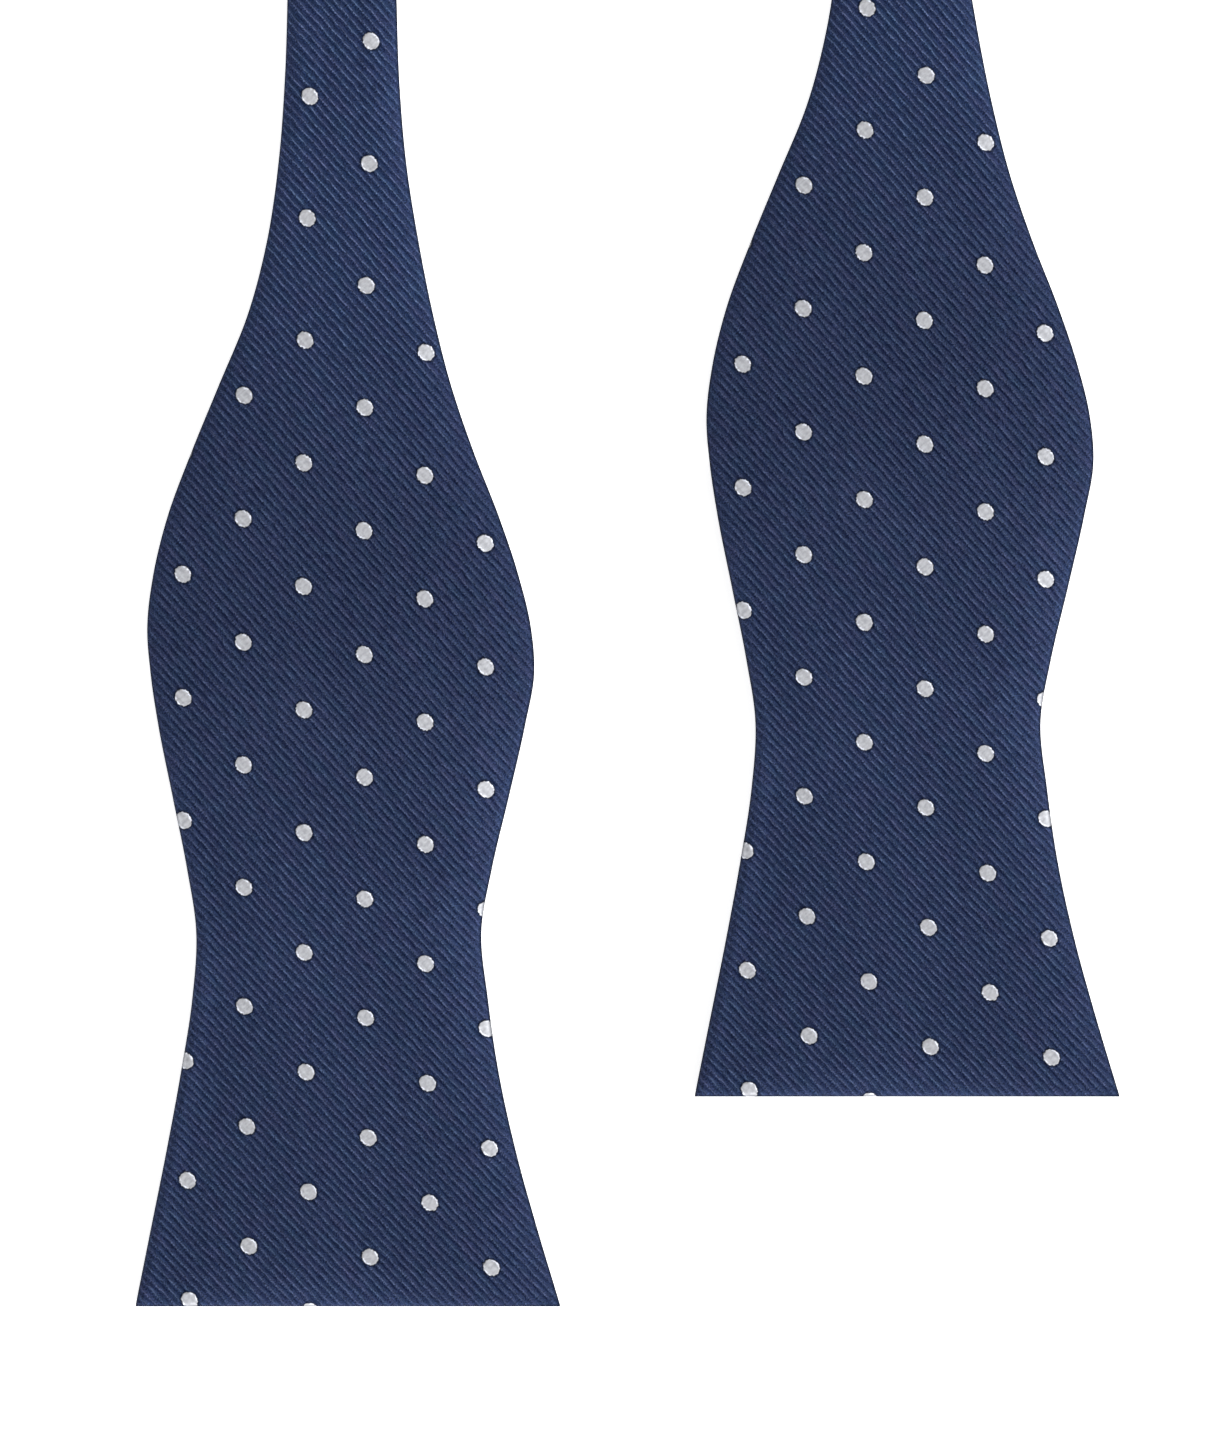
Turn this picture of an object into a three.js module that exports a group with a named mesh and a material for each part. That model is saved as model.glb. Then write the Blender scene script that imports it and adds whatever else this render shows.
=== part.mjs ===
// A self-tie bow tie, untied and laid face up: two shaped blades side by side,
// and behind them one neckband that turns onto its edge and runs round as an open neck loop.
// Millimetres, +Z up. +Y runs from the blade ends towards the centre back of the neckband.

import * as THREE from 'three';

// Driving sizes
const TIE_LENGTH = 940;
const BLADE_LENGTH = 215;
const BAND_WIDTH = 16.2;
const BLADE_SPACING = 85.8;
const RIGHT_BLADE_STEP = 32.2;
const NECK_LOOP_RADIUS = 62;
const LEG_BEND_RADIUS = 80;
const TWIST_LENGTH = 65;

// Cloth: folded silk over an interlining, so each piece is a thin pad with rolled edges
const EDGE_THICKNESS = 1.7;
const CROWN_PER_WIDTH = 0.011;
const SEAM_GAP = 0.3;

// How finely the cloth is divided
const BLADE_STEP = 3.6;
const BAND_STEP = 4;
const ROLL_DIVISIONS = 4;
const CROWN_STATIONS = [0.55, 0, -0.55];

// The blade's outline: along is the distance from the straight end, left and right are
// the distances of the two edges from the blade's middle line, seen from above.
const BLADE_OUTLINE = [
  { along: 0, left: 31.5, right: 33.5 },
  { along: 12, left: 29.1, right: 29.9 },
  { along: 24, left: 26.7, right: 26.6 },
  { along: 36, left: 24.5, right: 24.0 },
  { along: 47, left: 22.8, right: 22.4 },
  { along: 57.5, left: 22.2, right: 21.4 },
  { along: 67, left: 23.6, right: 23.0 },
  { along: 78, left: 25.8, right: 25.6 },
  { along: 89, left: 28.0, right: 28.1 },
  { along: 97, left: 29.2, right: 29.5 },
  { along: 104, left: 29.7, right: 29.0 },
  { along: 112, left: 28.8, right: 27.1 },
  { along: 121, left: 26.6, right: 24.1 },
  { along: 131, left: 22.9, right: 20.2 },
  { along: 141, left: 18.8, right: 16.8 },
  { along: 152, left: 14.3, right: 14.0 },
  { along: 163, left: 11.4, right: 11.8 },
  { along: 175, left: 9.6, right: 9.9 },
  { along: 188, left: 8.6, right: 8.8 },
  { along: 200, left: 8.2, right: 8.4 },
  { along: BLADE_LENGTH, left: BAND_WIDTH / 2, right: BAND_WIDTH / 2 },
];

// The straight end is folded over too: how much of the full thickness stands near it
const END_ROLL = [
  { along: 0, fullness: 0.4 },
  { along: 0.4, fullness: 0.85 },
  { along: 1.1, fullness: 1 },
];

// Left and right halves, with the place of each blade's straight end
const HALVES = [
  { name: 'left', side: -1, endY: 0 },
  { name: 'right', side: 1, endY: RIGHT_BLADE_STEP },
];

// The neck loop meets each straight leg through an arc that bends the other way
const legX = BLADE_SPACING / 2;
const bendAngle = Math.acos((legX + LEG_BEND_RADIUS) / (NECK_LOOP_RADIUS + LEG_BEND_RADIUS));
const bendLength = LEG_BEND_RADIUS * bendAngle;
const halfLoopLength = NECK_LOOP_RADIUS * (bendAngle + Math.PI / 2);
const curvedLength = bendLength + halfLoopLength;
const legEndY = (TIE_LENGTH + RIGHT_BLADE_STEP) / 2 - curvedLength;
const loopCentreY = legEndY + (NECK_LOOP_RADIUS + LEG_BEND_RADIUS) * Math.sin(bendAngle);
const UP = new THREE.Vector3(0, 0, 1);

const silk = new THREE.MeshStandardMaterial({ color: 0x2d3652, roughness: 0.6, metalness: 0 });

/** Smooth curve through the outline table, with x, y and z as along, left and right. */
const outlineCurve = new THREE.CatmullRomCurve3(
  BLADE_OUTLINE.map((row) => new THREE.Vector3(row.along, row.left, row.right)),
);

/** The two edge distances at a distance along the blade. */
function edgesAt(along) {
  let low = 0;
  let high = 1;
  for (let halving = 0; halving < 30; halving += 1) {
    const middle = (low + high) / 2;
    if (outlineCurve.getPoint(middle).x < along) low = middle;
    else high = middle;
  }
  const { y: left, z: right } = outlineCurve.getPoint(high);
  return { left, right };
}

/**
 * Cross-section of the cloth as [across, height] pairs, anticlockwise: flat below,
 * a half-round roll at each edge and a low crown on top.
 */
function clothSection(left, right, fullness = 1) {
  const roll = EDGE_THICKNESS / 2;
  const crown = CROWN_PER_WIDTH * (left + right);
  const points = [];
  for (let i = 0; i <= ROLL_DIVISIONS; i += 1) {
    const angle = -Math.PI / 2 + (Math.PI * i) / ROLL_DIVISIONS;
    points.push([right - roll + roll * Math.cos(angle), roll + roll * Math.sin(angle)]);
  }
  for (const station of CROWN_STATIONS) {
    const across = station > 0 ? station * right : station * left;
    points.push([across, EDGE_THICKNESS + crown * (1 - station * station)]);
  }
  for (let i = 0; i <= ROLL_DIVISIONS; i += 1) {
    const angle = Math.PI / 2 + (Math.PI * i) / ROLL_DIVISIONS;
    points.push([-left + roll + roll * Math.cos(angle), roll + roll * Math.sin(angle)]);
  }
  return points.map(([across, height]) => [across, roll + (height - roll) * fullness]);
}

/** Closed body through rings of equally many points, with a flat fan over each end ring. */
function loft(rings) {
  const count = rings[0].length;
  const vertices = rings.flat().flatMap((point) => point.toArray());
  const faces = [];
  for (let ring = 0; ring + 1 < rings.length; ring += 1) {
    for (let i = 0; i < count; i += 1) {
      const here = ring * count + i;
      const beside = ring * count + ((i + 1) % count);
      faces.push(here, beside, beside + count, here, beside + count, here + count);
    }
  }
  const last = (rings.length - 1) * count;
  for (let i = 1; i + 1 < count; i += 1) {
    faces.push(0, i + 1, i);
    faces.push(last, last + i, last + i + 1);
  }
  const geometry = new THREE.BufferGeometry();
  geometry.setAttribute('position', new THREE.Float32BufferAttribute(vertices, 3));
  geometry.setIndex(faces);
  geometry.computeVertexNormals();
  return geometry;
}

/** Evenly spaced distances from one place to another, both included. */
function stations(from, to, step) {
  const count = Math.ceil((to - from) / step);
  return Array.from({ length: count + 1 }, (_, i) => from + ((to - from) * i) / count);
}

/**
 * The band's middle line and cloth directions at a distance from the half's straight end.
 * The cloth lies flat on the leg, twists through a right angle before the leg ends, and
 * goes round the neck loop on its edge with its face outwards.
 */
function bandFrame(half, along) {
  const leg = legEndY - half.endY;
  const place = new THREE.Vector3();
  const run = new THREE.Vector3();
  if (along <= leg) {
    place.set(half.side * legX, half.endY + along, 0);
    run.set(0, 1, 0);
  } else if (along <= leg + bendLength) {
    const turned = (along - leg) / LEG_BEND_RADIUS;
    const across = legX + LEG_BEND_RADIUS * (1 - Math.cos(turned));
    place.set(half.side * across, legEndY + LEG_BEND_RADIUS * Math.sin(turned), 0);
    run.set(half.side * Math.sin(turned), Math.cos(turned), 0);
  } else {
    const angle = (along - leg - bendLength) / NECK_LOOP_RADIUS - bendAngle;
    const across = half.side * NECK_LOOP_RADIUS * Math.cos(angle);
    place.set(across, loopCentreY + NECK_LOOP_RADIUS * Math.sin(angle), 0);
    run.set(-half.side * Math.sin(angle), Math.cos(angle), 0);
  }
  const twist = (Math.PI / 2) * THREE.MathUtils.smoothstep(along, leg - TWIST_LENGTH, leg);
  const level = new THREE.Vector3().crossVectors(run, UP);
  const across = level.clone().multiplyScalar(Math.cos(twist));
  across.addScaledVector(UP, -half.side * Math.sin(twist));
  const face = UP.clone().multiplyScalar(Math.cos(twist));
  face.addScaledVector(level, half.side * Math.sin(twist));
  const lie = EDGE_THICKNESS / 2;
  place.z = lie + (BAND_WIDTH / 2 - lie) * Math.sin(twist);
  return { place, across, face };
}

/** One shaped blade, from its straight end to where it has narrowed to the band. */
function blade(half) {
  const start = END_ROLL[END_ROLL.length - 1].along;
  const rows = [
    ...END_ROLL.slice(0, -1),
    ...stations(start, BLADE_LENGTH - SEAM_GAP / 2, BLADE_STEP).map((along) => ({ along, fullness: 1 })),
  ];
  return loft(rows.map(({ along, fullness }) => {
    const { left, right } = edgesAt(along);
    return clothSection(left, right, fullness)
      .map(([across, height]) => new THREE.Vector3(half.side * legX + across, half.endY + along, height))
      .reverse();
  }));
}

/** One half of the neckband, from its blade to the centre back. */
function neckband(half) {
  const centreBack = legEndY - half.endY + curvedLength;
  const section = clothSection(BAND_WIDTH / 2, BAND_WIDTH / 2);
  const places = stations(BLADE_LENGTH + SEAM_GAP / 2, centreBack - SEAM_GAP / 2, BAND_STEP);
  return loft(places.map((along) => {
    const { place, across, face } = bandFrame(half, along);
    return section
      .map(([x, height]) => place.clone()
        .addScaledVector(across, x)
        .addScaledVector(face, height - EDGE_THICKNESS / 2))
      .reverse();
  }));
}

/** A named piece of silk. */
function piece(name, geometry) {
  const mesh = new THREE.Mesh(geometry, silk);
  mesh.name = name;
  return mesh;
}

const bowTie = new THREE.Group();
for (const half of HALVES) {
  bowTie.add(piece(`${half.name}_blade`, blade(half)));
  bowTie.add(piece(`${half.name}_neckband`, neckband(half)));
}

// The origin is the middle of the bottom of the whole tie's box
const extent = new THREE.Box3().setFromObject(bowTie);
const middle = extent.getCenter(new THREE.Vector3());
bowTie.position.set(-middle.x, -middle.y, -extent.min.z);

export default bowTie;
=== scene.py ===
"""An untied self-tie bow tie in navy silk faille with woven pin dots, laid face up.

Metres, +Z up, +Y from the blades' straight ends to the centre back of the neckband. Sizes of
the tie are kept in millimetres, as a tie maker gives them, and turned to metres in one place.
"""

import logging
import math
from dataclasses import dataclass, field
from enum import Enum
from typing import Any

import bpy
import numpy as np
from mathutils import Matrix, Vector


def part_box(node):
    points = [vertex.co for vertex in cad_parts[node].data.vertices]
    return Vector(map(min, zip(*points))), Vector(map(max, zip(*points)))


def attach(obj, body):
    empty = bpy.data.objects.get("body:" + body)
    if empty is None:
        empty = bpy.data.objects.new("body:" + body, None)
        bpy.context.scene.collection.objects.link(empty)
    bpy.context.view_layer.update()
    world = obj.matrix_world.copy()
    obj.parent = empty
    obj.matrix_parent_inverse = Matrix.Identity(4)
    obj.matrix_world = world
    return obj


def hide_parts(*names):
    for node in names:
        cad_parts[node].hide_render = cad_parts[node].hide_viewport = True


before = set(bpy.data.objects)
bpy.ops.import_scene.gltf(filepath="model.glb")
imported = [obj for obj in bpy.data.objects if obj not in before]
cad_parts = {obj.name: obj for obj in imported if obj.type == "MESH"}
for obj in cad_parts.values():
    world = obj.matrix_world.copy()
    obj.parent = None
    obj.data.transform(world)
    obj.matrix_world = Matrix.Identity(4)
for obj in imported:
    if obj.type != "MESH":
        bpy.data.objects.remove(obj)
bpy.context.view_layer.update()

LOG = logging.getLogger("bow_tie")
MM = 0.001
WEAVE_ATTRIBUTE = "weave"
DRAWN_ATTRIBUTE = "drawn"
BAKE_MAP = "OFBake"

# What nearly all of a noise's values lie between
NOISE_SPREAD = (0.25, 0.75)

# How near two points count as touching, and how finely curves are worked out
TOUCHING_MM = 0.01
CURVE_POINTS = 1201
HALVINGS = 40
WIDTH_SAMPLES = 400

Tree = bpy.types.NodeTree
Socket = bpy.types.NodeSocket

# Two sizes or levels that go together: across and along, least and most, or from and to
Pair = tuple[float, float]


class Side(Enum):
    """The half of the tie, by the sign of its x."""

    LEFT = -1
    RIGHT = 1


class Panel(Enum):
    """The layer of silk: the face that shows, or the one against the table or the collar."""

    FACE = "face"
    BACK = "back"


def linear(hex_colour: str) -> tuple[float, float, float, float]:
    """Turns an sRGB hex colour into the linear one that a shader takes.

    Args:
        hex_colour: six hex digits, with or without a leading hash.

    Returns:
        Red, green, blue and alpha, from 0 to 1.
    """
    digits = hex_colour.lstrip("#")
    channels = []
    for start in (0, 2, 4):
        level = int(digits[start:start + 2], 16) / 255
        channels.append(level / 12.92 if level <= 0.04045 else ((level + 0.055) / 1.055) ** 2.4)
    return channels[0], channels[1], channels[2], 1.0


def smooth(value: np.ndarray, low: float, high: float) -> np.ndarray:
    """Eases from 0 at low to 1 at high.

    Args:
        value: where to read it.
        low: the place where it leaves 0.
        high: the place where it reaches 1.

    Returns:
        The eased share at each value.
    """
    share = np.clip((value - low) / (high - low), 0.0, 1.0)
    return share * share * (3 - 2 * share)


def read_table(table: tuple[tuple[float, ...], ...], column: int, at: np.ndarray) -> np.ndarray:
    """Reads one column of a table by smooth cubics through its rows.

    Args:
        table: rows that start with the place where they hold.
        column: the column's number.
        at: the places to read it at, kept to those of the table.

    Returns:
        The value at each place.
    """
    rows = np.array(table)
    place, value = rows[:, 0], rows[:, column]
    slope = np.gradient(value, place)
    at = np.clip(at, place[0], place[-1])
    cell = np.clip(np.searchsorted(place, at, side="right") - 1, 0, len(place) - 2)
    span = place[cell + 1] - place[cell]
    t = (at - place[cell]) / span
    rise = t * t * (3 - 2 * t)
    bend = slope[cell] * t * (1 - t) ** 2 - slope[cell + 1] * t * t * (1 - t)
    return value[cell] * (1 - rise) + value[cell + 1] * rise + span * bend


def add_node(tree: Tree, kind: str, inputs: dict[Any, Any] | None = None, out: int | str = 0,
             **settings: Any) -> Socket:
    """Adds a node with its settings, values and links.

    Args:
        tree: the node tree that gets it.
        kind: the node's type name.
        inputs: socket name or number to a value, or to an output socket that feeds it.
        out: name or number of the output that is wanted.
        **settings: the node's own properties.

    Returns:
        The wanted output, from which the node itself can be reached.
    """
    node = tree.nodes.new(kind)
    for key, value in settings.items():
        setattr(node, key, value)
    for key, value in (inputs or {}).items():
        if isinstance(value, Socket):
            tree.links.new(value, node.inputs[key])
        else:
            node.inputs[key].default_value = value
    return node.outputs[out] if node.outputs else node.inputs[0]


def add_material(name: str) -> bpy.types.Material:
    """Adds a material with an empty node tree.

    Args:
        name: the material's name.

    Returns:
        The material.
    """
    made = bpy.data.materials.new(name)
    made.use_nodes = True
    made.node_tree.nodes.clear()
    return made


def add_object(name: str, data: bpy.types.ID) -> bpy.types.Object:
    """Adds an object to the scene.

    Args:
        name: the object's name.
        data: its mesh, light or camera.

    Returns:
        The object.
    """
    made = bpy.data.objects.new(name, data)
    bpy.context.scene.collection.objects.link(made)
    return made


@dataclass(frozen=True)
class Weave:
    """How the ribs and dots lie in the flat cloth, in millimetres from a blade's straight end.

    The ribs slant down to the right, and the dots repeat across and along them. The cloth
    doesn't lie quite straight: each row of its table is a distance from the straight end, how
    far the weave is moved to the right and up there, and how far up for each millimetre that a
    point lies to the right. The grooves lie groove_at of a rib away from the first dot.
    """

    ribs_per_repeat: int = 12
    repeat_across: Pair = (9.336, 8.475)
    repeat_along: Pair = (9.198, -10.354)
    first_dot: Pair = (-5.687, 110.28)
    lie: tuple[tuple[float, float, float, float], ...] = (
        (0, 1.834, 2.02, 0.0104), (25, 1.24, 1.27, 0.007), (50, 0.554, 0.613, 0.0055),
        (66, 0.40, 0.077, 0.003), (82, 0.258, -0.02, 0.0), (98, 0.105, -0.07, 0.0),
        (113, -0.06, 0.035, 0.0), (130, -0.15, 0.11, 0.0), (147, -0.10, 0.11, 0.0),
        (158, -0.05, 0.0, 0.0), (167, 0.107, 0.0, 0.0), (180, 0.301, -0.172, 0.0),
        (190, 0.36, -0.17, 0.0), (215, 0.36, -0.17, 0.0),
    )
    groove_at: float = 0.54

    @property
    def across_mm(self) -> float:
        """Distance between dots across the ribs."""
        return math.hypot(*self.repeat_across)

    @property
    def along_mm(self) -> float:
        """Distance between dots along the ribs."""
        return math.hypot(*self.repeat_along)

    @property
    def rib_mm(self) -> float:
        """Distance from one rib to the next."""
        return self.across_mm / self.ribs_per_repeat

    def shift(self, v: np.ndarray) -> tuple[np.ndarray, np.ndarray, np.ndarray]:
        """How far the weave lies from its straight repeat.

        Args:
            v: distance from the straight end.

        Returns:
            The shift to the right, the one up, and the rise for each millimetre to the right.
        """
        return read_table(self.lie, 1, v), read_table(self.lie, 2, v), read_table(self.lie, 3, v)

    def _inverse(self) -> np.ndarray:
        """The matrix from cloth millimetres to repeats."""
        return np.linalg.inv(np.array([self.repeat_across, self.repeat_along]).T)

    def coordinates(self, u: np.ndarray, v: np.ndarray) -> tuple[np.ndarray, np.ndarray]:
        """Where a point of the cloth is in the weave.

        Args:
            u: distance right of the blade's middle line.
            v: distance from the straight end.

        Returns:
            Distances across and along the ribs from the first dot.
        """
        right, up, tilt = self.shift(v)
        x, y = u - right - self.first_dot[0], v - up - tilt * u - self.first_dot[1]
        m = self._inverse()
        return (m[0, 0] * x + m[0, 1] * y) * self.across_mm, (m[1, 0] * x + m[1, 1] * y) * self.along_mm

    def on_rib(self, across: np.ndarray, v: np.ndarray) -> np.ndarray:
        """The place of a rib line at a height up the blade.

        Args:
            across: the line's distance across the ribs from the first dot.
            v: distance from the straight end.

        Returns:
            Distance right of the blade's middle line.
        """
        right, up, tilt = self.shift(v)
        m = self._inverse()
        moved = m[0, 0] * (right + self.first_dot[0]) - m[0, 1] * (v - up - self.first_dot[1])
        return (across / self.across_mm + moved) / (m[0, 0] - m[0, 1] * tilt)


@dataclass(frozen=True)
class Cut:
    """The tie's cutting sizes, in millimetres.

    The outline's rows are the distance from the straight end and the distances of the left
    and right edges from the blade's middle line. The silk is a little fuller than that: by
    edge_spread at each side, which runs out from full_until to the blade's end, and by
    end_spread at the straight end. Sewn pieces reach seam_overlap into each other.
    """

    outline: tuple[tuple[float, float, float], ...] = (
        (0, 31.5, 33.5), (12, 29.1, 29.9), (24, 26.7, 26.6), (36, 24.5, 24.0),
        (47, 22.8, 22.4), (57.5, 22.2, 21.4), (67, 23.6, 23.0), (78, 25.8, 25.6),
        (89, 28.0, 28.1), (97, 29.2, 29.5), (104, 29.7, 29.0), (112, 28.8, 27.1),
        (121, 26.6, 24.1), (131, 22.9, 20.2), (141, 18.8, 16.8), (152, 14.3, 14.0),
        (163, 11.4, 11.8), (175, 9.6, 9.9), (188, 8.6, 8.8), (200, 8.2, 8.4),
        (215, 8.1, 8.1),
    )
    band_width: float = 16.2
    blade_length: float = 215.0
    seam_overlap: float = 0.02
    edge_spread: float = 0.1
    full_until: float = 200.0
    end_spread: float = 0.16

    def _edge(self, v: np.ndarray, column: int) -> np.ndarray:
        """Finds one edge of the cloth.

        Args:
            v: distance from the straight end.
            column: the edge's column of the outline.

        Returns:
            Distance from the middle line.
        """
        spread = self.edge_spread * (1 - smooth(v, self.full_until, self.blade_length))
        return read_table(self.outline, column, v) + spread

    def left(self, v: np.ndarray) -> np.ndarray:
        """Distance of the left edge from the middle line."""
        return self._edge(v, 1)

    def right(self, v: np.ndarray) -> np.ndarray:
        """Distance of the right edge from the middle line."""
        return self._edge(v, 2)


@dataclass(frozen=True)
class Route:
    """Where the tie lies: two straight legs, then a neck loop standing on its edge.

    All sizes are millimetres, and thickness is that of the sewn edge. The band's frame is flat
    on the legs, and turns through a right angle before the loop, so that the cloth's face is
    outwards there.
    """

    tie_length: float = 940.0
    blade_spacing: float = 85.8
    right_step: float = 32.2
    loop_radius: float = 62.0
    bend_radius: float = 80.0
    twist_length: float = 65.0
    thickness: float = 1.7
    cut: Cut = field(default_factory=Cut)

    @property
    def leg_x(self) -> float:
        """Distance of each leg from the tie's middle line."""
        return self.blade_spacing / 2

    @property
    def bend_angle(self) -> float:
        """How far each leg bends outwards before the neck loop."""
        return math.acos((self.leg_x + self.bend_radius) / (self.loop_radius + self.bend_radius))

    @property
    def curved_length(self) -> float:
        """Length of half the band past its straight leg."""
        loop = self.loop_radius * (self.bend_angle + math.pi / 2)
        return self.bend_radius * self.bend_angle + loop

    @property
    def leg_end(self) -> float:
        """Where both straight legs end, from the left blade's straight end."""
        return (self.tie_length + self.right_step) / 2 - self.curved_length

    def start(self, side: Side) -> float:
        """Where the half's straight end lies, from the left blade's straight end."""
        return 0.0 if side is Side.LEFT else self.right_step

    def half_length(self, side: Side) -> float:
        """Length of one half, from its straight end to the centre back."""
        return self.leg_end - self.start(side) + self.curved_length

    def shift(self) -> np.ndarray:
        """Reads from the left blade's CAD box how far the frame's origin moves the tie.

        Returns:
            The way in millimetres.
        """
        low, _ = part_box("left_blade")
        edge = -self.leg_x - self.cut.outline[0][1]
        return np.array([low.x / MM - edge, low.y / MM, 0.0])

    def put(self, side: Side, u: np.ndarray, v: np.ndarray, height: np.ndarray) -> np.ndarray:
        """Places points of the flat cloth.

        Args:
            side: the half of the tie.
            u: distance right of the middle line, seen on the face.
            v: distance from the straight end.
            height: distance above the cloth's underside.

        Returns:
            Points in metres, in the frame.
        """
        leg = self.leg_end - self.start(side)
        sign = side.value
        turned = np.clip((v - leg) / self.bend_radius, 0, self.bend_angle)
        past = np.clip(v - leg - self.bend_radius * self.bend_angle, 0, None)
        angle = past / self.loop_radius - self.bend_angle
        on_loop = past > 0
        loop_y = self.leg_end + (self.loop_radius + self.bend_radius) * math.sin(self.bend_angle)
        x = np.where(on_loop, self.loop_radius * np.cos(angle),
                     self.leg_x + self.bend_radius * (1 - np.cos(turned)))
        y = np.where(on_loop, loop_y + self.loop_radius * np.sin(angle),
                     self.start(side) + np.minimum(v, leg) + self.bend_radius * np.sin(turned))
        heading = np.where(on_loop, -angle, turned)
        run = np.stack([sign * np.sin(heading), np.cos(heading), np.zeros_like(v)], -1)
        level = np.stack([run[..., 1], -run[..., 0], np.zeros_like(v)], -1)
        twist = math.pi / 2 * smooth(v, leg - self.twist_length, leg)
        up = np.array([0.0, 0.0, 1.0])
        across = level * np.cos(twist)[..., None] - sign * up * np.sin(twist)[..., None]
        face = up * np.cos(twist)[..., None] + sign * level * np.sin(twist)[..., None]
        lie = self.thickness / 2
        z = lie + (self.cut.band_width / 2 - lie) * np.sin(twist)
        middle = np.stack([sign * x, y, z], -1)
        placed = middle + across * u[..., None] + face * (height - lie)[..., None]
        return (placed + self.shift()) * MM


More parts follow.
